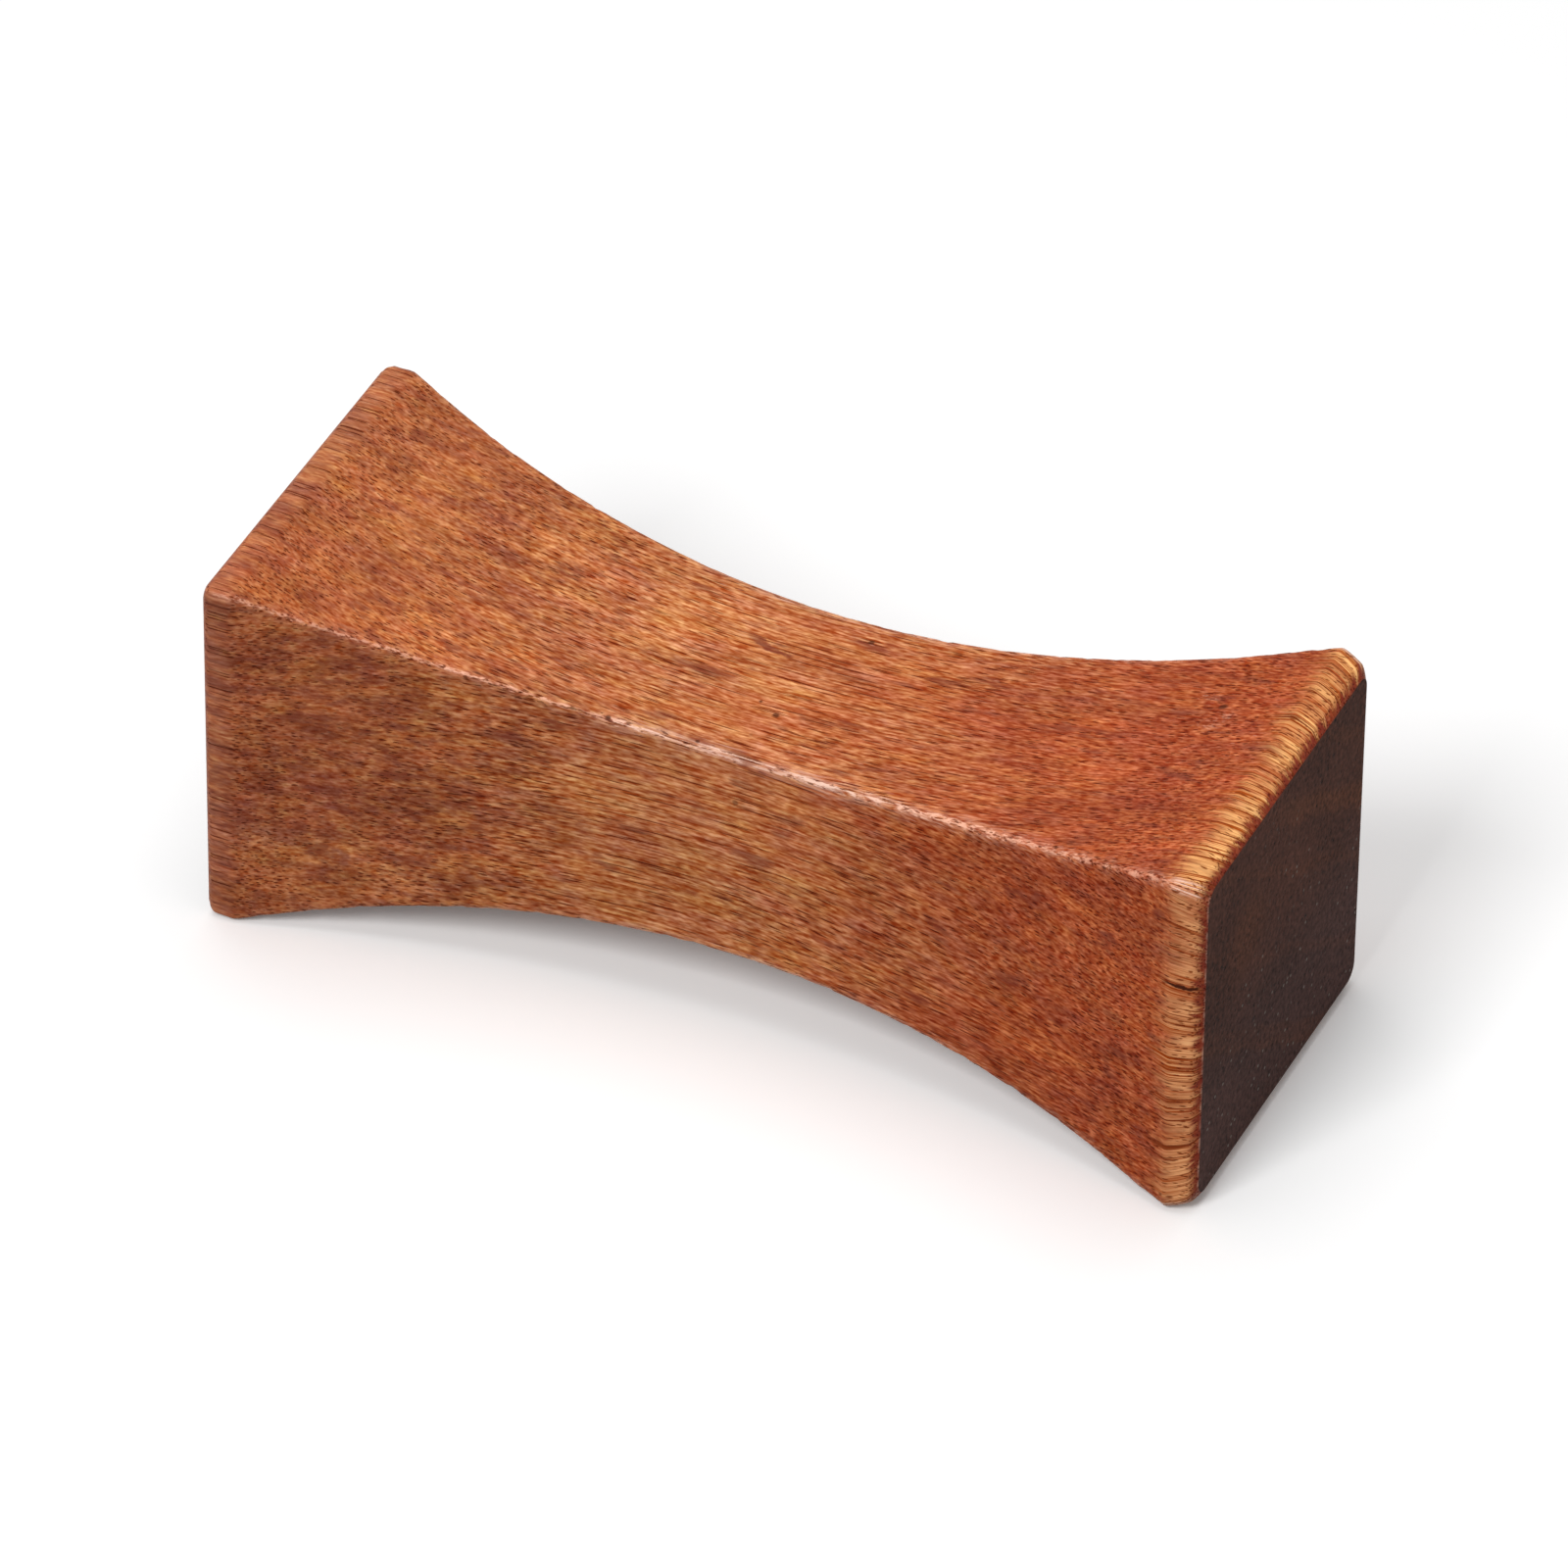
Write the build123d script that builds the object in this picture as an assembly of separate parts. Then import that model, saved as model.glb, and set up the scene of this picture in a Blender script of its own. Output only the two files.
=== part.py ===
from build123d import *
import os
from math import asin, degrees, radians, sin

# Chopstick rest: one block of hardwood, square in section and hollowed alike along its four long sides.
# X runs along the grain, Y across the block and Z up. The origin is on the table, under mid-length.

# Driving dimensions, in millimetres and degrees
length = 50.0         # over the two end faces
bar_side = 20.2       # side of the square bar, measured at its ends before any edge is rounded
waist_side = 11.8     # side of the square at mid-length, between the deepest points of two hollows
end_round = 1.3       # radius of the soft edge where a hollow rolls over to an end face
end_turn = 65.0       # angle that this edge has turned through when the flat end face cuts it off
ridge_round = 0.35    # radius along the four ridges where neighbouring hollows meet

# The hollow is a circular arc through the bar's ends and the waist
hollow_depth = (bar_side - waist_side) / 2
hollow_radius = ((length / 2) ** 2 + hollow_depth ** 2) / (2 * hollow_depth)

# The soft edge's circle touches the hollow's circle from inside the wood, where the hollow has this slope
edge_centre_x = length / 2 - end_round * sin(radians(end_turn))
hollow_slope = degrees(asin(edge_centre_x / (hollow_radius + end_round)))

DIAGONAL_TOLERANCE = 0.001


def waisted_outline():
    """Side view of the block: a quarter of the outline, mirrored about both centre lines."""
    with BuildSketch() as outline:
        with BuildLine():
            hollow = JernArc((0, waist_side / 2), (1, 0), hollow_radius, hollow_slope)
            soft_edge = JernArc(hollow @ 1, hollow % 1, end_round, -hollow_slope - end_turn)
            Line(soft_edge @ 1, (length / 2, 0))
            mirror(about=Plane.YZ)
            mirror(about=Plane.XZ)
        make_face()
    return outline.sketch


def on_a_diagonal(edge):
    """True for an edge between two neighbouring long sides, which lies in a diagonal plane of the square."""
    middle = edge.position_at(0.5)
    return abs(abs(middle.Y) - abs(middle.Z)) < DIAGONAL_TOLERANCE


def rest_block():
    """The same outline cut through the bar from the top and from the side, then eased along the ridges."""
    from_top = extrude(waisted_outline(), bar_side / 2, both=True)
    from_side = from_top.rotate(Axis.X, 90)
    block = from_top & from_side
    block = fillet(block.edges().filter_by(on_a_diagonal), ridge_round)
    return Pos(0, 0, -block.bounding_box().min.Z) * block


os.makedirs("parts", exist_ok=True)
export_step(rest_block(), "parts/rest_block.step")
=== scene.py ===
"""Chopstick rest: a waisted block of oiled, open-pored hardwood on a pale studio floor."""

from math import radians
from types import SimpleNamespace

import bpy
from bpy.props import FloatProperty, FloatVectorProperty, IntProperty, PointerProperty
from mathutils import Matrix, Vector


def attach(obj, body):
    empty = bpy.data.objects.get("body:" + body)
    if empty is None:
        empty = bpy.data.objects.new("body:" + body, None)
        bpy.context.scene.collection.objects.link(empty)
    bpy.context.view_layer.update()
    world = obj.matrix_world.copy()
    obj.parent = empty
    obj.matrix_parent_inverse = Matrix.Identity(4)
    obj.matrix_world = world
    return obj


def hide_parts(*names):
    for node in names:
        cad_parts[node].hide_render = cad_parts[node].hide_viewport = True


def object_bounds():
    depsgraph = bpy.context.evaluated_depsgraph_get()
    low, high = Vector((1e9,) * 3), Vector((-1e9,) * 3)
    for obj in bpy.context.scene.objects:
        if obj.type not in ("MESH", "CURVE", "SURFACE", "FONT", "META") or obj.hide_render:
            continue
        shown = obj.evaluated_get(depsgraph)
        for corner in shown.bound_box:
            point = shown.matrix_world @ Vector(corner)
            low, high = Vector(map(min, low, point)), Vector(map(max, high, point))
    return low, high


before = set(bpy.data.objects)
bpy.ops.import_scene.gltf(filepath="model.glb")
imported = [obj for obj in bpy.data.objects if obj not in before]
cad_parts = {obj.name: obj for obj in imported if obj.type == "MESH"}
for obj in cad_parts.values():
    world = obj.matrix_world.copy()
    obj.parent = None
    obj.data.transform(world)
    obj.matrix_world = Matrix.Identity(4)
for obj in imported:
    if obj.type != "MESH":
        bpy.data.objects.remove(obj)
CAD_LOW, CAD_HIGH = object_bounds()

bl_info = {
    "name": "Chopstick Rest",
    "version": (1, 0, 0),
    "blender": (4, 5, 0),
    "location": "View3D > Sidebar > Chopstick Rest",
    "description": "Builds a waisted hardwood chopstick rest and a pale studio to show it in",
    "category": "Object",
}

BLOCK_NODE = "rest_block"
BLOCK_BODY = "root"
MILLIMETRE = 0.001

# What the block's mesh carries for its finish: two lengths in millimetres, and quarter turns from the front
# top ridge over the top, the back and the underside to the front
FROM_RIM = "from_rim"
FROM_RIDGE = "from_ridge"
AROUND = "around"

# Points of the grid closer than this are one point of the block, in metres
MERGE_DISTANCE = 0.001 * MILLIMETRE
# A face or point whose normal has at least this much along the block is on an end face
END_FACE_NORMAL = 0.95
# Share of the half length from which the ridges grow rounder towards an end
CORNER_START = 0.88
# Open grain lines that could cross one rolled edge
FURROWS_PER_SIDE = 45

# Tints that multiply the wood's colour. It varies between the two of a pair, and the fibres' pair acts twice.
WHITE = (1.0, 1.0, 1.0, 1.0)
HUE_TINTS = (0.98, 0.90, 1.10, 1.0), (1.02, 1.09, 0.90, 1.0)
FIGURE_TINTS = (0.66, 0.59, 0.70, 1.0), (1.34, 1.41, 1.30, 1.0)
# The fibres' light tint is partly the fibres' own colour and partly a painted sheen on them
FIBRE_AND_SHEEN_TINTS = (0.76, 0.58, 0.43, 1.0), (1.22, 1.69, 2.46, 1.0)
EDGE_TINTS = (0.46, 0.24, 0.06, 1.0), (1.32, 2.20, 4.40, 1.0)
PORE_TINT = (0.34, 0.14, 0.03, 1.0)
PEACH_TINT = (1.00, 0.80, 0.70, 1.0)

# Single marks on the top: place along and across the block, and radius, in millimetres
DENTS = ((19.0, 4.8, 0.45), (19.9, 2.7, 0.55), (20.4, 3.5, 0.30))
SPECKS = (
    (0.60, -2.25, 0.17), (2.30, 4.45, 0.17), (-0.45, -1.65, 0.10), (19.95, 4.15, 0.20),
    (-1.80, -5.55, 0.12), (-6.10, -5.95, 0.14))

# Other single marks, in millimetres
CRACK_Y = 1.98                # straight part of the crooked dark line on the top
NICK_HEIGHT = 13.3            # nick in the right front edge
STREAK_START = (-23.8, 5.5)   # left end of the light streak on the front: place along the block, and height
RED_BAND = 16.9               # height of the red band at the middle of an end face
END_PATCH = (-4.3, 12.8)      # lighter patch on an end face: place across the block, and height

# Studio, in metres. A softbox has a name, its power's setting, its side and its direction from the block.
SOFTBOXES = (
    ("key_softbox", "key_power", 0.22, Vector((-0.10, -0.66, 0.72))),
    ("top_softbox", "top_power", 0.50, Vector((-0.05, 0.15, 1.0))),
)
SOFTBOX_DISTANCE = 0.6
FLOOR_REACH = 4.0
FLOOR_WHITENS = (0.1, 0.6)    # distances from the block between which the floor turns white


def length_setting(name, description, default):
    """A length in metres that a user can change."""
    return FloatProperty(name=name, description=description, default=default, unit="LENGTH", precision=5)


def angle_setting(name, description, degrees):
    """An angle that a user can change."""
    return FloatProperty(name=name, description=description, default=radians(degrees), subtype="ANGLE")


def count_setting(name, description, default, least):
    """A number of steps that a user can change."""
    return IntProperty(name=name, description=description, default=default, min=least)


def colour_setting(name, description, *default):
    """A colour that a user can change."""
    return FloatVectorProperty(
        name=name, description=description, default=default, subtype="COLOR", size=3, min=0, max=1)


class RestSizes(bpy.types.PropertyGroup):
    """Sizes of the block, and how finely its surface is divided."""

    length: length_setting("Length", "Over the two end faces", CAD_HIGH.x - CAD_LOW.x)
    bar_side: length_setting("Bar Side", "Side of the bar at its ends, before any edge is rounded", 0.0202)
    waist_side: length_setting("Waist Side", "Side of the square at mid-length", 0.0118)
    end_round: length_setting("End Round", "Radius where a hollow rolls over to an end face", 0.0013)
    left_round: length_setting("Left Round", "Tighter radius of the left end beyond its highest line", 0.0005)
    end_turn: angle_setting("End Turn", "Angle that a rolled edge turns through before the end face", 65)
    ridge_round: length_setting("Ridge Round", "Radius along the four ridges", 0.00035)
    right_corner: length_setting("Right Corner", "Radius that the ridges grow to at the right end", 0.0008)
    left_corner: length_setting("Left Corner", "Radius that the ridges grow to at the left end", 0.0005)
    rub_from: angle_setting("Rub From", "Angle on the right rolled edge from which it is rubbed flat", -10)
    rub_to: angle_setting("Rub To", "Angle on the right rolled edge up to which it is rubbed flat", 40)
    rub_share: FloatProperty(
        name="Rub Share", description="How flat the right end's rolled edge is rubbed: 1 for quite flat",
        default=0.7, min=0, max=1)
    ridge_wear: length_setting("Ridge Wear", "Deepest chip along a ridge", 0.00006)
    furrow_depth: length_setting("Furrow Depth", "Deepest open grain line across a rolled edge", 0.00002)
    hand_wave: length_setting("Hand Wave", "Unevenness left by sanding by hand", 0.00005)
    hollow_steps: count_setting("Hollow Steps", "Rows from mid-length to a rolled edge", 92, 4)
    edge_steps: count_setting("Edge Steps", "Rows over a rolled edge", 16, 3)
    face_steps: count_setting("Face Steps", "Rings on an end face", 6, 1)
    side_steps: count_setting("Side Steps", "Columns on one long side", 104, 16)
    ridge_steps: count_setting("Ridge Steps", "Columns on half of a ridge", 5, 2)
    seed: IntProperty(name="Seed", description="Chooses another set of chips and furrows", default=7)


class RestFinish(bpy.types.PropertyGroup):
    """Colours of the wood."""

    golden: colour_setting("Golden", "Clear wood at the waist", 0.63, 0.164, 0.037)
    tawny: colour_setting("Tawny", "Browner wood towards the left end", 0.50, 0.116, 0.026)
    russet: colour_setting("Russet", "Redder wood towards the right end", 0.46, 0.071, 0.0145)
    dull: colour_setting("Dull", "Dull wood on the left of the front", 0.385, 0.082, 0.021)
    olive: colour_setting("Olive", "Small greenish mottles", 0.27, 0.094, 0.022)
    streak: colour_setting("Streak", "Light streak low on the left of the front", 0.58, 0.150, 0.036)
    speck: colour_setting("Speck", "Dark specks, pits and the nick", 0.07, 0.016, 0.007)
    smear: colour_setting("Smear", "Purplish smears of old stain", 0.23, 0.050, 0.028)
    # The two edge colours below are partly wear through the stain and partly a painted highlight on the right
    # end's rolled edge
    worn_and_highlight: colour_setting("Worn Edge", "Rolled edges that are rubbed through the stain", 0.97, 0.315, 0.060)
    worn_front_and_highlight: colour_setting("Worn Front Edge", "Rolled edge at the right of the front", 0.97, 0.295, 0.066)
    rim: colour_setting("Rim", "Line where a rolled edge meets an end face", 0.30, 0.040, 0.022)
    # The ridge colour is partly wear and partly painted light: the ridges' highlight, the glints at the right
    # end's corners, the line on the right front rim and the lightening of the left rolled edge
    ridge: colour_setting("Ridge", "Rubbed ridges", 1.00, 0.65, 0.51)
    # The colour of the fine scratched lines also paints the glints on the top and in the dents
    scratch_and_glint: colour_setting("Scratch", "Fine scratches", 1.00, 0.47, 0.31)
    end_grain: colour_setting("End Grain", "End faces, which soak up the most stain", 0.114, 0.048, 0.034)
    end_low: colour_setting("End Low", "Greyer lower half of the end faces", 0.100, 0.052, 0.045)
    end_band: colour_setting("End Band", "Growth bands on the end faces", 0.200, 0.078, 0.044)
    end_speck: colour_setting("End Speck", "Filled pores on the end faces", 0.42, 0.37, 0.33)


class RestStudio(bpy.types.PropertyGroup):
    """Camera, lamps and floor."""

    azimuth: angle_setting("Azimuth", "How far the camera stands to the right of the front", 24.7)
    elevation: angle_setting("Elevation", "How far the camera looks down", 38.9)
    roll: angle_setting("Roll", "Tilt of the camera about its line of sight", 0.75)
    distance: length_setting("Distance", "From the camera to the middle of the block", 0.655)
    lens: FloatProperty(name="Lens", description="Focal length", default=327.5, unit="CAMERA")
    key_power: FloatProperty(
        name="Key Power", description="Softbox in front, high up", default=2.0, unit="POWER")
    top_power: FloatProperty(name="Top Power", description="Softbox overhead", default=1.6, unit="POWER")
    ambient: FloatProperty(name="Ambient", description="Light from all round", default=0.22, min=0)
    floor_seen: colour_setting("Floor Seen", "Floor colour in the picture and in reflections", 1.0, 1.0, 1.0)
    floor_glow: FloatProperty(
        name="Floor Glow", description="Brightness that the floor adds to its own picture",
        default=0.12, min=0)
    floor_bounce: colour_setting(
        "Floor Bounce", "Floor colour in the light that it throws back", 0.32, 0.32, 0.32)


class Wire:
    """A node's output to reckon with: sums, products and the like become Math nodes in its tree."""

    def __init__(self, tree, socket):
        self.tree = tree
        self.socket = socket

    def math(self, operation, *others):
        node = add_node(self.tree, "ShaderNodeMath")
        node.operation = operation
        for socket, value in zip(node.inputs, (self, *others)):
            feed(self.tree, value, socket)
        return Wire(self.tree, node.outputs[0])

    def __add__(self, other):
        return self.math("ADD", other)

    def __sub__(self, other):
        return self.math("SUBTRACT", other)

    def __mul__(self, other):
        return self.math("MULTIPLY", other)

    def __truediv__(self, other):
        return self.math("DIVIDE", other)

    def __neg__(self):
        return self.math("MULTIPLY", -1.0)

    def __abs__(self):
        return self.math("ABSOLUTE")

    def opposite(self):
        """1 less this: 0 where this is 1, and 1 where it is 0."""
        return -self + 1.0

    def clamped(self, low, high):
        """This, but no less than low and no more than high."""
        return self.math("MAXIMUM", low).math("MINIMUM", high)

    def choose(self, if_one, if_zero):
        """One value where this is 1, and the other where it is 0."""
        return self * if_one + self.opposite() * if_zero

    def rise(self, low, high):
        """0 up to low and 1 from high on, with a smooth step between."""
        node = add_node(self.tree, "ShaderNodeMapRange")
        node.interpolation_type = "SMOOTHSTEP"
        for name, value in (("Value", self), ("From Min", low), ("From Max", high)):
            feed(self.tree, value, node.inputs[name])
        return Wire(self.tree, node.outputs[0])

    def fall(self, low, high):
        """1 up to low and 0 from high on, with a smooth step between."""
        return self.rise(low, high).opposite()


def add_node(tree, kind):
    """A new node, laid out in rows so that the tree can be read."""
    nodes_in_row, column_width, row_height = 14, 190, 320
    node = tree.nodes.new(kind)
    row, column = divmod(len(tree.nodes) - 1, nodes_in_row)
    node.location = (column * column_width, row * -row_height)
    return node


def feed(tree, value, socket):
    """Link a wire to a socket, or set a plain value on it."""
    if isinstance(value, Wire):
        tree.links.new(value.socket, socket)
    else:
        socket.default_value = value


def combine(tree, x, y, z):
    """A vector of three numbers."""
    node = add_node(tree, "ShaderNodeCombineXYZ")
    for socket, value in zip(node.inputs, (x, y, z)):
        feed(tree, value, socket)
    return Wire(tree, node.outputs[0])


def separate(vector):
    """The three numbers of a vector."""
    node = add_node(vector.tree, "ShaderNodeSeparateXYZ")
    feed(vector.tree, vector, node.inputs[0])
    return [Wire(vector.tree, socket) for socket in node.outputs]


def vector_math(operation, first, *others):
    """A vector, or a distance, reckoned from vectors."""
    node = add_node(first.tree, "ShaderNodeVectorMath")
    node.operation = operation
    for socket, value in zip(node.inputs, (first, *others)):
        feed(first.tree, value, socket)
    return Wire(first.tree, node.outputs["Value" if operation == "DISTANCE" else "Vector"])


def stretched(place, along, across, shift):
    """Texture place whose unit is so many millimetres along and across the grain, moved by shift units."""
    scale = (1 / along, 1 / across, 1 / across)
    return vector_math("MULTIPLY_ADD", place, scale, (shift, shift * 2, shift * 3))


def noise(place, detail=2.0, roughness=0.5, output="Fac"):
    """Smooth random values about 0.5."""
    node = add_node(place.tree, "ShaderNodeTexNoise")
    for name, value in (("Vector", place), ("Scale", 1.0), ("Detail", detail), ("Roughness", roughness)):
        feed(place.tree, value, node.inputs[name])
    return Wire(place.tree, node.outputs[output])


def cells(place):
    """Distance to the nearest of many scattered points, and that point's own random number."""
    node = add_node(place.tree, "ShaderNodeTexVoronoi")
    feed(place.tree, place, node.inputs["Vector"])
    feed(place.tree, 1.0, node.inputs["Scale"])
    return Wire(place.tree, node.outputs["Distance"]), separate(Wire(place.tree, node.outputs["Color"]))[0]


def mix(amount, first, second):
    """Colour between two others."""
    node = add_node(amount.tree, "ShaderNodeMix")
    node.data_type = "RGBA"
    sockets = {socket.identifier: socket for socket in node.inputs}
    for name, value in (("Factor_Float", amount), ("A_Color", first), ("B_Color", second)):
        feed(amount.tree, value, sockets[name])
    result = next(socket for socket in node.outputs if socket.identifier == "Result_Color")
    return Wire(amount.tree, result)


def tinted(colour, tint):
    """A colour multiplied by another."""
    return vector_math("MULTIPLY", colour, tint)


def opaque(colour):
    """A colour property as a socket wants it."""
    return (*colour, 1.0)


def new_material(name):
    """A material with only its shader, and its tree."""
    material = bpy.data.materials.new(name)
    material.use_nodes = True
    shader = material.node_tree.nodes["Principled BSDF"]
    return material, material.node_tree, shader


def object_millimetres(tree):
    """Place on the block, in millimetres from its origin on the table."""
    node = add_node(tree, "ShaderNodeTexCoord")
    metres = Wire(tree, node.outputs["Object"])
    return vector_math("MULTIPLY", metres, (1 / MILLIMETRE,) * 3)


def carried_value(tree, name):
    """A value that the block's mesh carries for its finish."""
    node = add_node(tree, "ShaderNodeAttribute")
    node.attribute_name = name
    return Wire(tree, node.outputs["Fac"])


def with_relief(tree, shader, height, depth):
    """Give the shader a relief of so many metres for a height of one."""
    node = add_node(tree, "ShaderNodeBump")
    node.inputs["Distance"].default_value = depth
    feed(tree, height, node.inputs["Height"])
    tree.links.new(node.outputs["Normal"], shader.inputs["Normal"])


def wandering(place):
    """Place on the block, swayed as the grain sways from the block's axis."""
    sway = noise(stretched(place, 34, 15, 3.1), detail=1.0, output="Color")
    centred = vector_math("SUBTRACT", sway, (0.5, 0.5, 0.5))
    return vector_math("MULTIPLY_ADD", centred, (0.0, 3.0, 3.0), place)


def open_pores(grain, length, width, shift, share):
    """1 in the pores: long thin hollows along the grain, of which a share is kept."""
    distance, chance = cells(stretched(grain, length, width, shift))
    return distance.fall(0.14, 0.32) * chance.fall(share - 0.1, share)


class LongSides:
    """Places on the long sides in millimetres, and random patterns, which the steps of their finish share."""

    def __init__(self, tree):
        self.tree = tree
        self.place = place = object_millimetres(tree)
        self.x, self.y, self.z = separate(place)
        self.level = combine(tree, self.x, self.y, 0.0)
        self.from_rim = carried_value(tree, FROM_RIM)
        self.from_ridge = carried_value(tree, FROM_RIDGE)
        self.around = carried_value(tree, AROUND)
        self.on_top = self.around.fall(0.99, 1.01)
        self.on_front = self.around.rise(2.99, 3.01)
        self.on_right = self.x.rise(-1.0, 1.0)
        self.left_part = self.x.fall(-9.0, -3.0)

        # Random patterns, from the finest to the broadest, along the swaying grain or straight
        self.grain = grain = wandering(place)
        self.speckle = noise(stretched(grain, 0.5, 0.14, 7.7), detail=1.0)
        self.fibre = noise(stretched(grain, 3.0, 0.14, 11.3), detail=2.0, roughness=0.6)
        self.strand = noise(stretched(grain, 8.0, 0.5, 17.9), detail=2.0, roughness=0.6)
        self.figure = noise(stretched(grain, 16, 2.6, 23.7), detail=3.0, roughness=0.6)
        self.sparkle = noise(stretched(place, 0.45, 0.13, 73.0))
        self.splits = noise(stretched(place, 4.0, 0.11, 71.3), detail=2.0)
        self.mottle = noise(stretched(place, 1.0, 0.55, 29.0), detail=3.0, roughness=0.65)
        self.patch = noise(stretched(place, 4.5, 2.4, 31.0), detail=2.0, roughness=0.55)
        self.cloud = noise(stretched(place, 11, 6, 37.9))
        self.comb = self.over_edge(110, 9, 0.0, detail=1.0)
        self.streaks = self.over_edge(40, 5, 5.0)

    def over_edge(self, lines, length, shift, detail=2.0):
        """Random lines that run over a rolled edge: so many on a side, of a length in millimetres."""
        return noise(combine(self.tree, self.around * lines, self.x / length, shift), detail=detail)

    def gap_to(self, spot, raggedness):
        """Distance from a spot on the top in millimetres, as ragged as is said."""
        return vector_math("DISTANCE", self.level, (*spot, 0.0)) + (self.mottle - 0.5) * raggedness


def clear_wood(sides, finish):
    """Golden at the waist, tawny to the left, redder to the right, and dull on the left of the front."""
    x, clouds = sides.x, sides.cloud - 0.5
    wandered = x + (sides.figure - 0.5) * 18 + clouds * 18
    wood = mix(wandered.fall(-20.0, -3.0), opaque(finish.golden), opaque(finish.tawny))
    red_corner = sides.on_top * x.fall(-14.0, -2.0) * sides.y.fall(-9.0, 1.0)
    wood = mix(wandered.rise(-6.0, 18.0) + red_corner * 0.35, wood, opaque(finish.russet))
    low_down = sides.z.fall(2.0, 8.0)
    dullness = sides.on_front * x.fall(-20.0, -3.0) * (low_down * -0.4 + 0.8) + clouds * 0.8
    wood = mix(dullness, wood, opaque(finish.dull))
    return mix(sides.mottle.rise(0.54, 0.70) * (dullness * 0.3 + 0.08), wood, opaque(finish.olive))


def light_streak(sides):
    """1 in the light streak low on the left of the front, which curves down to the right."""
    start_x, start_height = STREAK_START
    along = sides.x - start_x
    curve = along * 0.08 + along * along * 0.012
    above = sides.z - start_height + curve + (sides.patch - 0.5) * 1.6
    return abs(above).fall(0.1, 1.1) * sides.x.fall(-17.0, -13.0) * sides.on_front


def figured(sides, wood):
    """Vary the wood's hue, its figure, which is livelier on the front and at the ends, and its fibres, the
    light ones partly a painted sheen.
    """
    x, on_front = sides.x, sides.on_front
    hue = noise(stretched(sides.place, 2.6, 1.3, 85.0), detail=3.0, roughness=0.65)
    wood = tinted(wood, mix((hue - 0.5) * 2.4 + 0.5, *HUE_TINTS))
    broad = sides.strand * 0.9 + sides.mottle * 0.9 + sides.patch * 0.7 + sides.figure * 0.6 - 1.55
    at_left = x.fall(-14.0, -4.0) * (on_front * 0.8 + 0.6)
    at_right = x.rise(8.0, 16.0) * (on_front * 0.3 + 0.3)
    wood = tinted(wood, mix(broad * (at_left + at_right + on_front * 0.2 + 0.9) + 0.5, *FIGURE_TINTS))
    long_fibred = x.rise(-22.0, -6.0)
    speckles = (sides.speckle - 0.5) * (long_fibred * 0.3 + 1.25)
    fibres = (sides.fibre - 0.5) * (long_fibred * 0.95 + 0.72)
    fibre_and_sheen_tint = mix(speckles + fibres + 0.5, *FIBRE_AND_SHEEN_TINTS)
    return tinted(tinted(wood, fibre_and_sheen_tint), fibre_and_sheen_tint)


def old_stain(sides):
    """1 in the smears of old stain along the grain, and in its smudges at the left."""
    smears = noise(stretched(sides.grain, 2.4, 0.7, 67.1), detail=3.0).rise(0.56, 0.72)
    smudges = noise(stretched(sides.place, 1.9, 1.0, 95.0), detail=3.0, roughness=0.6).rise(0.57, 0.70)
    return smears.math("MAXIMUM", smudges * sides.x.fall(-12.0, -6.0))


def bare_wood_and_highlight(sides, finish):
    """Colour of wood rubbed bare, which also serves as a painted highlight: pinkish white at the waist, and
    peach towards both ends.
    """
    off_waist = sides.left_part.math("MAXIMUM", sides.x.rise(5.0, 11.0))
    return tinted(mix(off_waist, WHITE, PEACH_TINT), finish.ridge)


def with_rolled_edges(sides, wood, finish):
    """Rub the rolled edges: pale and streaked at the right, partly wear and partly a painted highlight, a
    little lighter at the left as painted light against its shade, with a red rim and a thin painted highlight
    along the right front rim.
    """
    from_rim, on_front, on_right = sides.from_rim, sides.on_front, sides.on_right
    streaks, comb = sides.streaks - 0.5, sides.comb - 0.5
    hair = sides.over_edge(230, 5, 13.0, detail=1.0) - 0.5
    ragged = from_rim + streaks * 1.6 + comb * 1.0
    faded = from_rim + streaks * 2.8 - comb * 2.6 + (sides.patch - 0.5) * 1.6
    patchy = sides.over_edge(11, 2.5, 21.0).rise(0.36, 0.58) * 0.52 + 0.44
    # The right edge's pale band is partly wear and partly a painted highlight, brightest a little in from the
    # rim
    right_edge_wear_and_highlight = ragged.rise(0.1, 0.5) * faded.fall(0.9, 2.9) * on_right * patchy
    tone = (streaks * 2.5 - comb * 3.2 + hair * 3.0) * (on_front * -0.4 + 1.0) + 0.5
    pale = mix(on_front, opaque(finish.worn_and_highlight), opaque(finish.worn_front_and_highlight))
    wood = mix(right_edge_wear_and_highlight, wood, tinted(mix(tone, *EDGE_TINTS), pale))
    # Painted light: the left rolled edge is lightened a little against the shade it turns into
    left_edge_painted_light = from_rim.fall(0.5, 2.0) * on_right.opposite() * (sides.streaks.rise(0.3, 0.7) * 0.06 + 0.05)
    wood = mix(left_edge_painted_light, wood, bare_wood_and_highlight(sides, finish))

    rim_breaks = sides.over_edge(24, 1.0, 9.0).rise(0.36, 0.62)
    reddish = ragged.fall(0.20, 0.65) * (rim_breaks * 0.65 + 0.2) * (on_right * 0.85 + 0.15)
    wood = mix(reddish, wood, opaque(finish.rim))
    # A thin painted highlight along the rim of the right end's front edge
    rim_highlight = from_rim.fall(0.03, 0.12) * on_front * on_right * rim_breaks.opposite() * 0.45
    return mix(rim_highlight, wood, opaque(finish.ridge))


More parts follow.
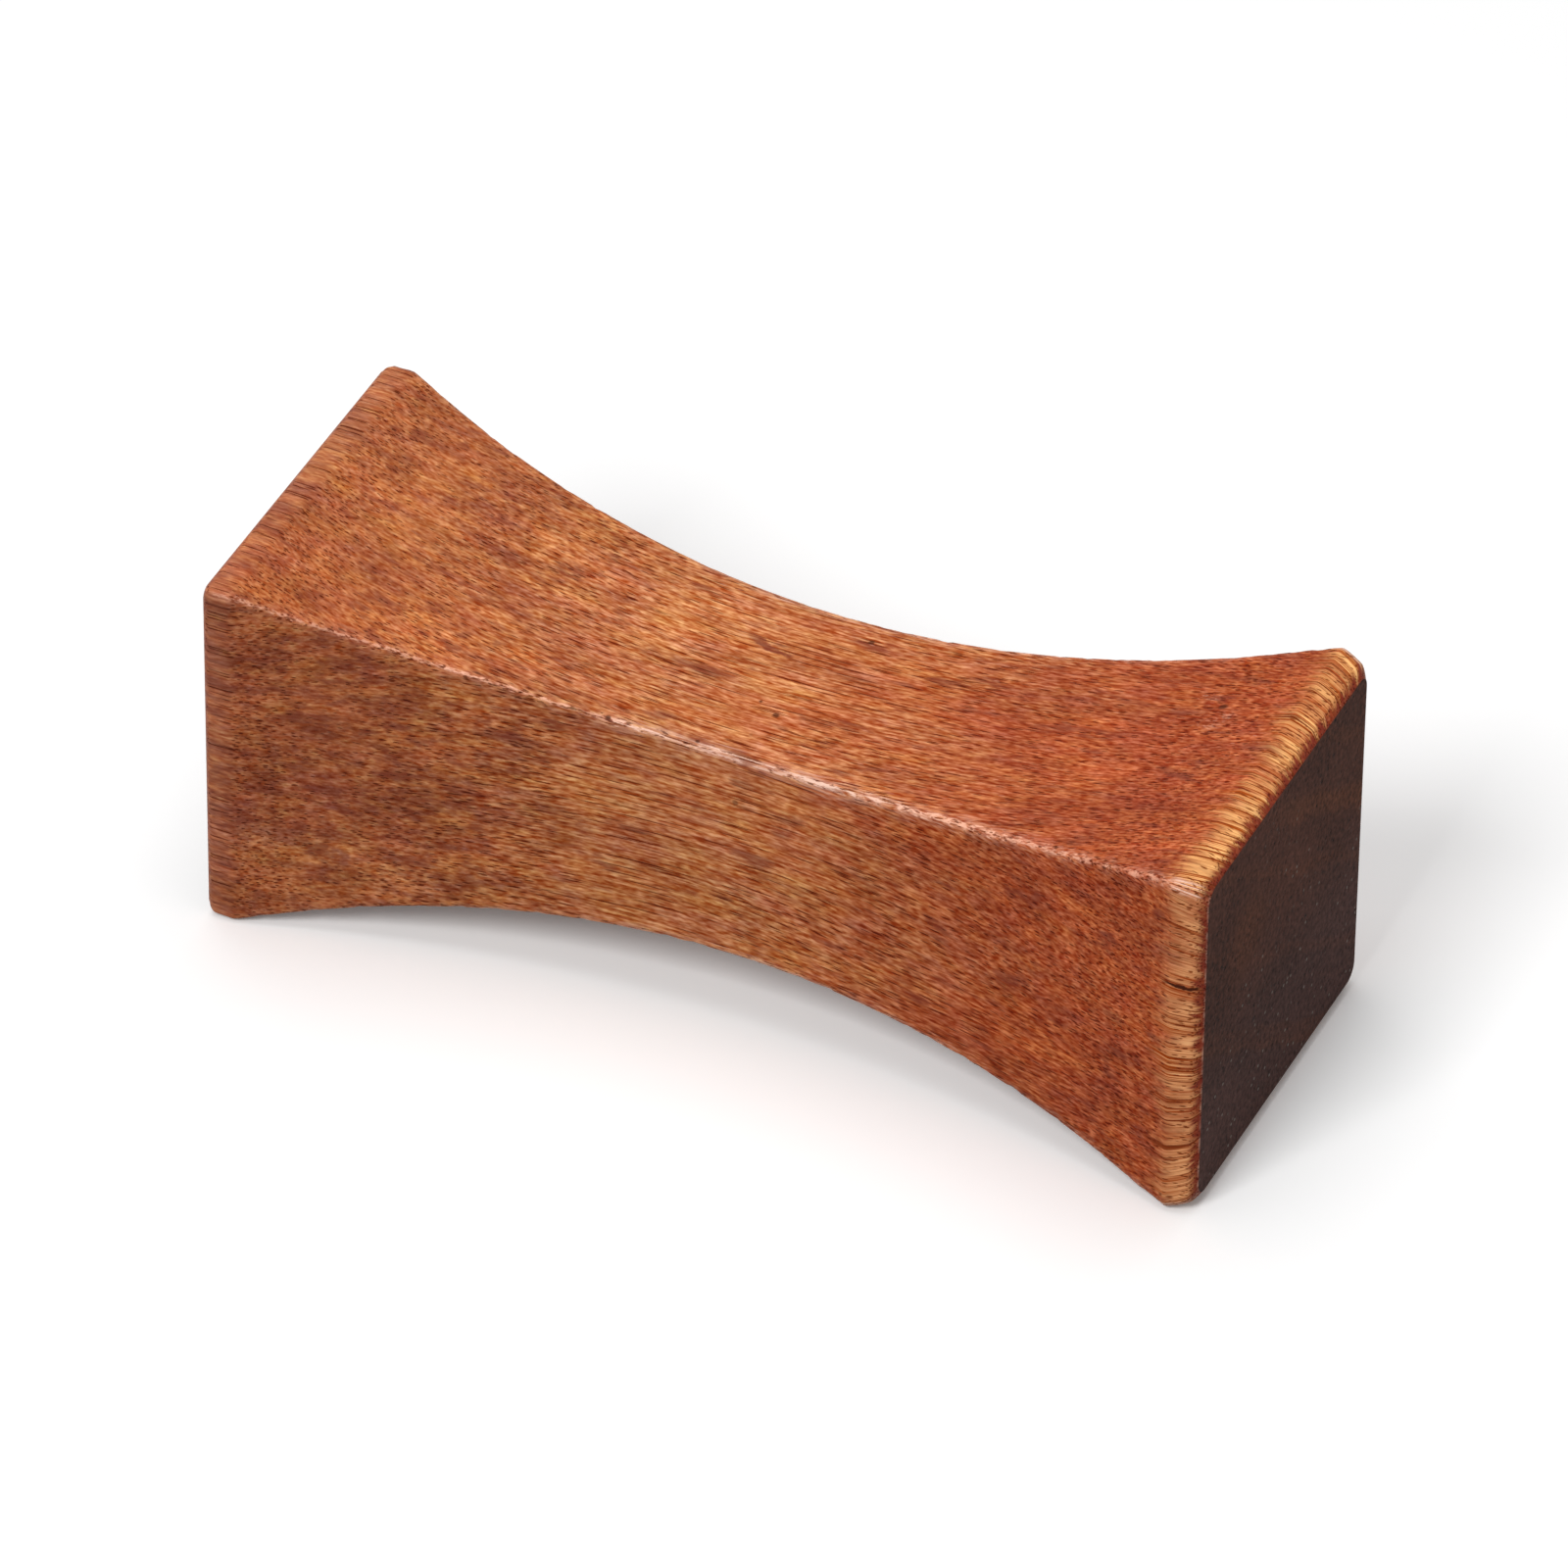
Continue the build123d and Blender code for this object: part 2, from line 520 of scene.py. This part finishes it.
def ridge_bareness_and_highlight(sides):
    """How far the ridges are rubbed bare and carry a painted highlight: in long thin streaks, most of all
    right of the waist, where the painted highlight is strongest.
    """
    x, from_ridge, left_part = sides.x, sides.from_ridge, sides.left_part
    splits, sparkle = sides.splits - 0.5, sides.sparkle - 0.5
    breaks = noise(stretched(sides.place, 2.6, 2.6, 77.0)).rise(0.44, 0.56)
    most = x.rise(-9.0, 1.0) * x.fall(10.0, 17.0) * 0.45 + left_part * 0.32 + breaks * 0.50 + 0.25
    crumbs = sides.sparkle.rise(0.38, 0.50) * 0.8 + 0.2
    frayed = from_ridge + (splits * 1.1 + sparkle * 0.4) * (left_part * -0.62 + 1.0)
    crest = frayed.fall(0.10, left_part * -0.10 + 0.34) * crumbs
    margin = (from_ridge + splits * 1.8).fall(0.20, 0.65) * (left_part * -0.2 + 0.3)
    return crest.math("MAXIMUM", margin) * most


def with_rubbed_ridges(sides, wood, bareness_and_highlight, finish):
    """Rub the ridges pale, partly wear and partly a painted highlight, with dark flecks beside them, and most
    of all at the corners of the right end, as painted glints.
    """
    from_rim, from_ridge = sides.from_rim, sides.from_ridge
    wood = mix(bareness_and_highlight, wood, bare_wood_and_highlight(sides, finish))
    beside_ridge = (from_ridge + (sides.mottle - 0.5) * 0.8).fall(0.25, 0.55) * sides.x.rise(-23.0, -20.0)
    flecks = sides.sparkle.fall(0.32, 0.42) * beside_ridge
    wood = mix(flecks * 0.7, wood, opaque(finish.speck))
    # Painted glints at the corners of the right end, where a ridge meets the rolled edge
    corner = from_ridge.fall(0.35, 0.60) * sides.comb.fall(0.46, 0.54) * sides.on_right
    corner = corner * from_rim.fall(1.5, 2.2) * from_rim.rise(0.3, 0.7)
    return mix(corner * 0.95, wood, opaque(finish.ridge))


def dark_lines(sides):
    """1 in the open pores, and in the thin grain lines over the right end's rolled edge."""
    long_pores = open_pores(sides.grain, 16.0, 0.17, 41.0, 0.8)
    short_pores = open_pores(sides.grain, 6.0, 0.13, 53.0, 0.7)
    edge_lines = sides.comb.rise(0.60, 0.67) * sides.streaks.rise(0.25, 0.6)
    edge_lines = edge_lines * sides.from_rim.fall(1.8, 3.6) * sides.on_right
    return (long_pores.math("MAXIMUM", short_pores) * 0.9).math("MAXIMUM", edge_lines * 0.85)


def crooked_line(sides):
    """1 in the crooked dark line on the top, which slants and then follows the grain."""
    x = sides.x
    line_y = (x * -0.42 + 1.35).math("MAXIMUM", CRACK_Y) + (sides.mottle - 0.5) * 1.1
    return abs(line_y - sides.y).fall(0.06, 0.22) * x.rise(-3.4, -2.2) * x.fall(-0.8, -0.3) * sides.on_top


def dark_holes(sides):
    """1 in the scattered pits, the nick in the right front edge and the specks on the top."""
    distance, chance = cells(stretched(sides.place, 3.0, 3.0, 61.0))
    holes = distance.fall(0.03, 0.07) * chance.fall(0.08, 0.12) * 0.7
    from_nick = abs(sides.z - NICK_HEIGHT + (sides.mottle - 0.5) * 0.5)
    front_edge = sides.x.rise(23.0, 23.5) * sides.from_rim.rise(0.2, 0.5) * sides.on_front
    holes = holes.math("MAXIMUM", from_nick.fall(0.04, 0.12) * front_edge)
    for *spot, radius in SPECKS:
        speck = sides.gap_to(spot, 0.25).fall(radius * 0.4, radius * 1.3) * sides.on_top
        holes = holes.math("MAXIMUM", speck * 0.8)
    return holes


def painted_glints_and_scratches(sides, dents):
    """How pale the painted glints and fine scratched lines are: a few all over, and many in the dents."""
    distance, chance = cells(stretched(sides.grain, 0.8, 0.2, 59.0))
    glints_and_scratches = distance.fall(0.12, 0.30) * chance.fall(0.03, 0.05) * (sides.on_top * 0.2 + 0.1)
    for gap, radius in dents:
        in_dent = gap.fall(radius * 0.5, radius * 1.5) * sides.on_top
        glints_and_scratches = glints_and_scratches.math("MAXIMUM", in_dent * sides.sparkle.rise(0.52, 0.60) * 0.4)
    return glints_and_scratches


def side_grain_material(finish):
    """Long sides and rolled edges: orange brown wood with dark pores, rubbed pale at its edges, partly wear
    and partly painted highlights and glints.
    """
    material, tree, shader = new_material("side_grain")
    sides = LongSides(tree)
    dents = [(sides.gap_to(spot, 0.6), radius) for *spot, radius in DENTS]
    bareness_and_highlight = ridge_bareness_and_highlight(sides)
    lines = dark_lines(sides)
    crack = crooked_line(sides)
    holes = dark_holes(sides)

    wood = clear_wood(sides, finish)
    wood = mix(light_streak(sides) * 0.95, wood, opaque(finish.streak))
    wood = figured(sides, wood)
    wood = mix(old_stain(sides) * 0.6, wood, opaque(finish.smear))
    wood = with_rolled_edges(sides, wood, finish)
    wood = with_rubbed_ridges(sides, wood, bareness_and_highlight, finish)
    wood = tinted(wood, mix(lines, WHITE, PORE_TINT))
    wood = mix(crack * 0.8, wood, opaque(finish.smear))
    wood = mix(holes, wood, opaque(finish.speck))
    wood = mix(painted_glints_and_scratches(sides, dents), wood, opaque(finish.scratch_and_glint))
    feed(tree, wood, shader.inputs["Base Color"])

    dark = lines.math("MAXIMUM", holes).math("MAXIMUM", crack * 0.6)
    gloss = noise(stretched(sides.place, 2.5, 0.9, 83.0))
    feed(tree, gloss * 0.3 + dark * 0.25 - bareness_and_highlight * 0.12 + 0.28, shader.inputs["Roughness"])
    shader.inputs["Specular IOR Level"].default_value = 0.04
    height = sides.fibre * 0.5 + sides.mottle * 0.2 + sides.splits * bareness_and_highlight * 0.6 - dark * 0.6
    for gap, radius in dents:
        height = height - gap.fall(0.0, radius) * sides.on_top * 2.0
    with_relief(tree, shader, height, depth=0.05 * MILLIMETRE)
    return material


def end_grain_material(finish):
    """Flat end faces: nearly black brown, with faint growth bands and a few pale filled pores."""
    material, tree, shader = new_material("end_grain")
    place = object_millimetres(tree)
    _, y, z = separate(place)
    cloud = noise(stretched(place, 9, 5, 91.0), detail=3.0)
    mottle = noise(stretched(place, 1.0, 0.30, 103.0), detail=3.0, roughness=0.65)
    low = z.fall(5.0, 13.0)

    # Growth bands lie at a slant, one of them redder than the others, and one patch is as light as they are
    slant = z + y * 0.63 + (cloud - 0.5) * 2.0
    bands = noise(combine(tree, slant / 2.4, 0.0, 0.0), detail=2.0).rise(0.50, 0.72) * 0.35
    red_band = abs(slant - RED_BAND).fall(0.2, 1.1) * y.rise(-4.0, 4.0) * 0.7
    from_patch = vector_math("DISTANCE", combine(tree, 0.0, y, z), (0.0, *END_PATCH)) + (mottle - 0.5) * 3.0
    bands = bands.math("MAXIMUM", from_patch.fall(0.5, 3.0) * 0.45).math("MAXIMUM", red_band)
    wood = mix(low, opaque(finish.end_grain), opaque(finish.end_low))
    wood = mix(bands, wood, opaque(finish.end_band))

    # Pores, the filled ones pale and mostly low down
    distance, chance = cells(stretched(place, 5.0, 0.36, 101.0))
    pores = distance.fall(0.15, 0.4) * chance.rise(0.35, 0.4)
    specks = distance.fall(0.10, 0.30) * chance.fall(0.01, 0.14) * (cloud + low * 0.24).rise(0.5, 0.66)
    shade = (cloud - 0.5) * 1.4 + (mottle - 0.5) * 3.4 + 1.0 - pores * 0.35
    wood = tinted(wood, combine(tree, shade, shade, shade))
    wood = mix(specks * 0.8, wood, opaque(finish.end_speck))
    feed(tree, wood, shader.inputs["Base Color"])
    shader.inputs["Roughness"].default_value = 0.75
    shader.inputs["Specular IOR Level"].default_value = 0.06
    with_relief(tree, shader, -pores, depth=0.03 * MILLIMETRE)
    return material


SOCKET_KINDS = {"FLOAT": "NodeSocketFloat", "INT": "NodeSocketInt"}


def size_settings():
    """Each size of the block: its name in this file, and the setting with its label and its type."""
    return [(name, RestSizes.bl_rna.properties[name]) for name in RestSizes.__annotations__]


def block_inputs(tree):
    """Give the tree an input for each size and each kind of grain, and return their wires by name."""
    names = []
    for name, setting in size_settings():
        tree.interface.new_socket(setting.name, in_out="INPUT", socket_type=SOCKET_KINDS[setting.type])
        names.append(name)
    for name, label in (("side_grain", "Side Grain"), ("end_grain", "End Grain")):
        tree.interface.new_socket(label, in_out="INPUT", socket_type="NodeSocketMaterial")
        names.append(name)
    group = add_node(tree, "NodeGroupInput")
    return SimpleNamespace(**{name: Wire(tree, socket) for name, socket in zip(names, group.outputs)})


def position(tree):
    """Place of each point of the mesh."""
    return Wire(tree, add_node(tree, "GeometryNodeInputPosition").outputs[0])


def store_value(tree, mesh, name, value, domain):
    """Write a value on the mesh for later nodes and for the finish."""
    node = add_node(tree, "GeometryNodeStoreNamedAttribute")
    node.data_type = "FLOAT"
    node.domain = domain
    feed(tree, mesh, node.inputs["Geometry"])
    feed(tree, name, node.inputs["Name"])
    feed(tree, value, node.inputs["Value"])
    return Wire(tree, node.outputs["Geometry"])


def stored_value(tree, name):
    """Read a value that was written on the mesh."""
    node = add_node(tree, "GeometryNodeInputNamedAttribute")
    node.data_type = "FLOAT"
    feed(tree, name, node.inputs["Name"])
    return Wire(tree, node.outputs["Attribute"])


def through(tree, kind, geometry, **settings):
    """Pass geometry through a node, with its other inputs set by name."""
    node = add_node(tree, kind)
    feed(tree, geometry, node.inputs[0])
    for name, value in settings.items():
        feed(tree, value, node.inputs[name.replace("_", " ").title()])
    return Wire(tree, node.outputs[0])


def rubbed(given, roll, on_right, operation):
    """Sine or cosine of the roll, drawn towards a straight line between the two angles of rubbing."""
    start, stop = given.rub_from, given.rub_to
    share = ((roll - start) / (stop - start)).clamped(0.0, 1.0)
    between = roll.math("GREATER_THAN", start) * roll.math("LESS_THAN", stop) * on_right
    first, last = start.math(operation), stop.math(operation)
    on_arc = roll.math(operation)
    return on_arc + (first + (last - first) * share - on_arc) * between * given.rub_share


def block_rows(given, across_grid):
    """The block's outline from mid-length over a hollow and a rolled edge to the middle of an end face."""
    half = given.length / 2
    turn, edge_round = given.end_turn, given.end_round

    # The hollow's arc, and the rolled edge that touches it from inside the wood
    depth = (given.bar_side - given.waist_side) / 2
    radius = (half * half + depth * depth) / (depth * 2)
    edge_x = half - edge_round * turn.math("SINE")
    slope = (edge_x / (radius + edge_round)).math("ARCSINE")
    edge_middle = given.waist_side / 2 + radius - (radius + edge_round) * slope.math("COSINE")
    half_height = edge_middle + edge_round

    # Each row's angles on the two arcs, by its share t of the rows from mid-length to an end face's middle
    steps = given.hollow_steps + given.edge_steps + given.face_steps
    hollow_share = given.hollow_steps / steps
    edge_share = (given.hollow_steps + given.edge_steps) / steps
    t = abs(across_grid * 2)
    end_sign = across_grid.math("SIGN")
    on_right = end_sign.math("GREATER_THAN", 0.0)
    on_hollow = t.math("LESS_THAN", hollow_share)
    arc = slope * (t / hollow_share).math("MINIMUM", 1.0)
    over = (t - hollow_share) / (edge_share - hollow_share)
    roll = (slope + turn) * over.clamped(0.0, 1.0) - slope
    inwards = (t.opposite() / edge_share.opposite()).math("MINIMUM", 1.0)

    # Beyond its highest line the left end's edge is tighter, so a level land comes before it
    tip_round = on_right.choose(edge_round, given.left_round)
    land = (edge_round - tip_round) * turn.math("SINE")
    past_top = roll.math("GREATER_THAN", 0.0)
    bend_round = edge_round + (tip_round - edge_round) * past_top
    rolled_x = edge_x + land * past_top + bend_round * rubbed(given, roll, on_right, "SINE")
    rolled_side = half_height + bend_round * (rubbed(given, roll, on_right, "COSINE") - 1)
    hollow_x = radius * arc.math("SINE")
    hollow_side = given.waist_side / 2 + radius * arc.math("COSINE").opposite()
    reach = on_hollow.choose(hollow_x, rolled_x)
    side = on_hollow.choose(hollow_side, rolled_side * inwards)

    # Length along the outline from the end face's rim
    to_top = radius * (slope - arc) - edge_round * roll.math("MINIMUM", 0.0) + land * past_top.opposite()
    from_rim = (to_top + tip_round * (turn - roll.math("MAXIMUM", 0.0))) / MILLIMETRE
    return SimpleNamespace(
        steps=steps, on_right=on_right, x=reach * end_sign, side=side, share_out=reach / half,
        inwards=inwards, half_height=half_height, from_rim=from_rim)


def block_columns(given, rows, along_grid):
    """The way round the block: four quarters, each a long side from the middle of one ridge to the next."""
    turns = (along_grid + 0.5) * 4
    quarter = turns.math("FLOOR")
    w = (turns - quarter) * 2 - 1
    end_corner = rows.on_right.choose(given.right_corner, given.left_corner)
    rounder = (end_corner - given.ridge_round) * rows.share_out.rise(CORNER_START, 1.0)
    corner = (given.ridge_round + rounder) * rows.inwards
    flat_share = (given.ridge_steps * 2 / given.side_steps).opposite()
    on_flat = (w / flat_share).clamped(-1.0, 1.0)
    bend = (abs(w) - flat_share).math("MAXIMUM", 0.0) / flat_share.opposite() * radians(45)
    level = rows.side - corner
    run = level * on_flat + corner * bend.math("SINE") * w.math("SIGN")
    out = level + corner * bend.math("COSINE")
    angle = quarter * radians(90)
    y = run * angle.math("COSINE") + out * angle.math("SINE")
    z = out * angle.math("COSINE") - run * angle.math("SINE") + rows.half_height
    from_ridge = (rows.side - abs(run)) / MILLIMETRE
    return SimpleNamespace(turns=turns, y=y, z=z, from_ridge=from_ridge)


def hand_work(given, normal, end_face):
    """How far each point moves: a slight wave, chips along the ridges, and open grain lines at the right."""
    tree = normal.tree
    metres = position(tree)
    seed_shift = combine(tree, given.seed, 0.0, 0.0)
    seeded = vector_math("MULTIPLY_ADD", metres, (1 / MILLIMETRE,) * 3, seed_shift)
    wave = noise(stretched(seeded, 9, 6, 1.0), detail=1.0) * given.hand_wave
    near_ridge = stored_value(tree, FROM_RIDGE).fall(0.12, 0.7)
    chips = noise(stretched(seeded, 0.8, 0.6, 2.0), detail=2.0).rise(0.48, 0.72) * given.ridge_wear
    furrow = stored_value(tree, AROUND) * FURROWS_PER_SIDE
    furrow_place = combine(tree, furrow, separate(seeded)[0] / 4, given.seed)
    furrows = noise(furrow_place, detail=1.0).rise(0.5, 0.72) * given.furrow_depth
    on_right = separate(metres)[0].math("GREATER_THAN", 0.0)
    near_rim = stored_value(tree, FROM_RIM).fall(1.4, 2.4) * on_right
    sunk = (wave + near_ridge * chips + near_rim * furrows) * end_face.opposite()
    return vector_math("MULTIPLY", normal, combine(tree, -sunk, -sunk, -sunk))


def waisted_block_tree():
    """Nodes that bend a flat grid round the block: its rows run from end to end and its columns go round."""
    tree = bpy.data.node_groups.new("waisted_block", "GeometryNodeTree")
    tree.interface.new_socket("Mesh", in_out="OUTPUT", socket_type="NodeSocketGeometry")
    given = block_inputs(tree)
    across_grid, along_grid, _ = separate(position(tree))
    rows = block_rows(given, across_grid)
    columns = block_columns(given, rows, along_grid)

    grid = add_node(tree, "GeometryNodeMeshGrid")
    feed(tree, rows.steps * 2 + 1, grid.inputs["Vertices X"])
    feed(tree, given.side_steps * 4 + 1, grid.inputs["Vertices Y"])
    mesh = Wire(tree, grid.outputs["Mesh"])
    mesh = store_value(tree, mesh, FROM_RIM, rows.from_rim, "POINT")
    mesh = store_value(tree, mesh, FROM_RIDGE, columns.from_ridge, "POINT")
    mesh = store_value(tree, mesh, AROUND, columns.turns, "CORNER")
    bent = combine(tree, rows.x, columns.y, columns.z)
    mesh = through(tree, "GeometryNodeSetPosition", mesh, position=bent)
    mesh = through(tree, "GeometryNodeMergeByDistance", mesh, distance=MERGE_DISTANCE)

    normal = Wire(tree, add_node(tree, "GeometryNodeInputNormal").outputs[0])
    end_face = abs(separate(normal)[0]).math("GREATER_THAN", END_FACE_NORMAL)
    mesh = through(tree, "GeometryNodeSetPosition", mesh, offset=hand_work(given, normal, end_face))
    mesh = through(tree, "GeometryNodeRealizeInstances", mesh)
    mesh = through(tree, "GeometryNodeSetShadeSmooth", mesh, shade_smooth=end_face.math("LESS_THAN", 0.5))
    mesh = through(tree, "GeometryNodeSetMaterial", mesh, material=given.side_grain)
    mesh = through(tree, "GeometryNodeSetMaterial", mesh, material=given.end_grain, selection=end_face)
    output = add_node(tree, "NodeGroupOutput")
    feed(tree, mesh, output.inputs[0])
    return tree


class OBJECT_OT_rest_block(bpy.types.Operator):
    """Build the waisted block of the chopstick rest, with its side grain and end grain"""

    bl_idname = "object.rest_block"
    bl_label = "Rest Block"

    def execute(self, context):
        sizes, finish = context.scene.rest_sizes, context.scene.rest_finish
        tree = waisted_block_tree()
        block = bpy.data.objects.new("rest_block_wood", bpy.data.meshes.new("rest_block_wood"))
        context.collection.objects.link(block)
        modifier = block.modifiers.new("Waisted Block", "NODES")
        modifier.node_group = tree
        sockets = {item.name: item.identifier for item in tree.interface.items_tree if item.in_out == "INPUT"}
        for name, setting in size_settings():
            modifier[sockets[setting.name]] = getattr(sizes, name)
        modifier[sockets["Side Grain"]] = side_grain_material(finish)
        modifier[sockets["End Grain"]] = end_grain_material(finish)

        evaluated = block.evaluated_get(context.evaluated_depsgraph_get())
        mesh = bpy.data.meshes.new_from_object(evaluated)
        if not mesh.polygons:
            raise RuntimeError("The waisted block came out with no faces")
        block.modifiers.remove(modifier)
        block.data = mesh
        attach(block, BLOCK_BODY)
        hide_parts(BLOCK_NODE)
        return {"FINISHED"}


def seen_directly(tree):
    """1 for what the camera sees, also in a reflection or through glass."""
    path = add_node(tree, "ShaderNodeLightPath")
    camera, glossy, transmission = [
        Wire(tree, path.outputs[name]) for name in ("Is Camera Ray", "Is Glossy Ray", "Is Transmission Ray")]
    return (camera + glossy + transmission).math("MINIMUM", 1.0)


def floor_material(studio):
    """Pale floor that looks brighter than the light that it throws back, and that turns white far off."""
    material, tree, shader = new_material("studio_floor")
    seen = seen_directly(tree)
    colour = mix(seen, opaque(studio.floor_bounce), opaque(studio.floor_seen))
    feed(tree, colour, shader.inputs["Base Color"])
    place = Wire(tree, add_node(tree, "ShaderNodeTexCoord").outputs["Object"])
    far_off = vector_math("DISTANCE", place, (0.0, 0.0, 0.0)).rise(*FLOOR_WHITENS)
    shader.inputs["Emission Color"].default_value = WHITE
    feed(tree, seen * far_off.math("MAXIMUM", studio.floor_glow), shader.inputs["Emission Strength"])
    shader.inputs["Roughness"].default_value = 0.9
    shader.inputs["Specular IOR Level"].default_value = 0.0
    return material


def studio_floor(studio):
    """A square of floor under the block."""
    reach = FLOOR_REACH
    mesh = bpy.data.meshes.new("studio_floor")
    corners = [(-reach, -reach, 0), (reach, -reach, 0), (reach, reach, 0), (-reach, reach, 0)]
    mesh.from_pydata(corners, [], [(0, 1, 2, 3)])
    mesh.materials.append(floor_material(studio))
    return bpy.data.objects.new("studio_floor", mesh)


def studio_world(studio):
    """Even white surroundings that light the block less than they show."""
    world = bpy.data.worlds.new("studio_world")
    world.use_nodes = True
    tree = world.node_tree
    background = tree.nodes["Background"]
    background.inputs["Color"].default_value = WHITE
    strength = seen_directly(tree) * (1.0 - studio.ambient) + studio.ambient
    feed(tree, strength, background.inputs["Strength"])
    return world


def softbox(name, power, side, direction, target):
    """A square lamp that stands off from a target in a direction, and is turned to it."""
    lamp = bpy.data.lights.new(name, "AREA")
    lamp.energy = power
    lamp.size = side
    holder = bpy.data.objects.new(name, lamp)
    holder.location = target + direction.normalized() * SOFTBOX_DISTANCE
    holder.rotation_euler = (target - holder.location).to_track_quat("-Z", "Y").to_euler()
    return holder


def studio_camera(studio, target):
    """A camera that looks at a target from the studio's angles and distance."""
    camera = bpy.data.objects.new("camera", bpy.data.cameras.new("camera"))
    camera.data.lens = studio.lens
    turn = Matrix.Rotation(studio.azimuth, 4, "Z")
    turn = turn @ Matrix.Rotation(radians(90) - studio.elevation, 4, "X")
    turn = turn @ Matrix.Rotation(studio.roll, 4, "Z")
    back = turn @ Vector((0, 0, studio.distance))
    camera.matrix_world = Matrix.Translation(target + back) @ turn
    return camera


class OBJECT_OT_rest_studio(bpy.types.Operator):
    """Build the floor, the lamps, the surroundings and the camera"""

    bl_idname = "object.rest_studio"
    bl_label = "Studio"

    def execute(self, context):
        scene, studio = context.scene, context.scene.rest_studio
        middle = (CAD_LOW + CAD_HIGH) / 2
        floor = studio_floor(studio)
        context.collection.objects.link(floor)
        for name, power, side, direction in SOFTBOXES:
            lamp = softbox(name, getattr(studio, power), side, direction, middle)
            context.collection.objects.link(lamp)
        camera = studio_camera(studio, middle)
        context.collection.objects.link(camera)
        scene.camera = camera
        scene.world = studio_world(studio)
        scene.view_settings.view_transform = "Standard"
        return {"FINISHED"}


class VIEW3D_PT_chopstick_rest(bpy.types.Panel):
    """Sizes, finish and studio of the chopstick rest"""

    bl_idname = "VIEW3D_PT_chopstick_rest"
    bl_label = "Chopstick Rest"
    bl_space_type = "VIEW_3D"
    bl_region_type = "UI"
    bl_category = "Chopstick Rest"

    def draw(self, context):
        for group in (context.scene.rest_sizes, context.scene.rest_finish, context.scene.rest_studio):
            box = self.layout.box()
            for name in group.__annotations__:
                box.prop(group, name)
        for operator in (OBJECT_OT_rest_block, OBJECT_OT_rest_studio):
            self.layout.operator(operator.bl_idname)


CLASSES = (
    RestSizes,
    RestFinish,
    RestStudio,
    OBJECT_OT_rest_block,
    OBJECT_OT_rest_studio,
    VIEW3D_PT_chopstick_rest,
)


def register():
    for item in CLASSES:
        bpy.utils.register_class(item)
    bpy.types.Scene.rest_sizes = PointerProperty(type=RestSizes)
    bpy.types.Scene.rest_finish = PointerProperty(type=RestFinish)
    bpy.types.Scene.rest_studio = PointerProperty(type=RestStudio)


def unregister():
    del bpy.types.Scene.rest_studio
    del bpy.types.Scene.rest_finish
    del bpy.types.Scene.rest_sizes
    for item in reversed(CLASSES):
        bpy.utils.unregister_class(item)


def main():
    register()
    bpy.ops.object.rest_block()
    bpy.ops.object.rest_studio()


if __name__ == "__main__":
    main()
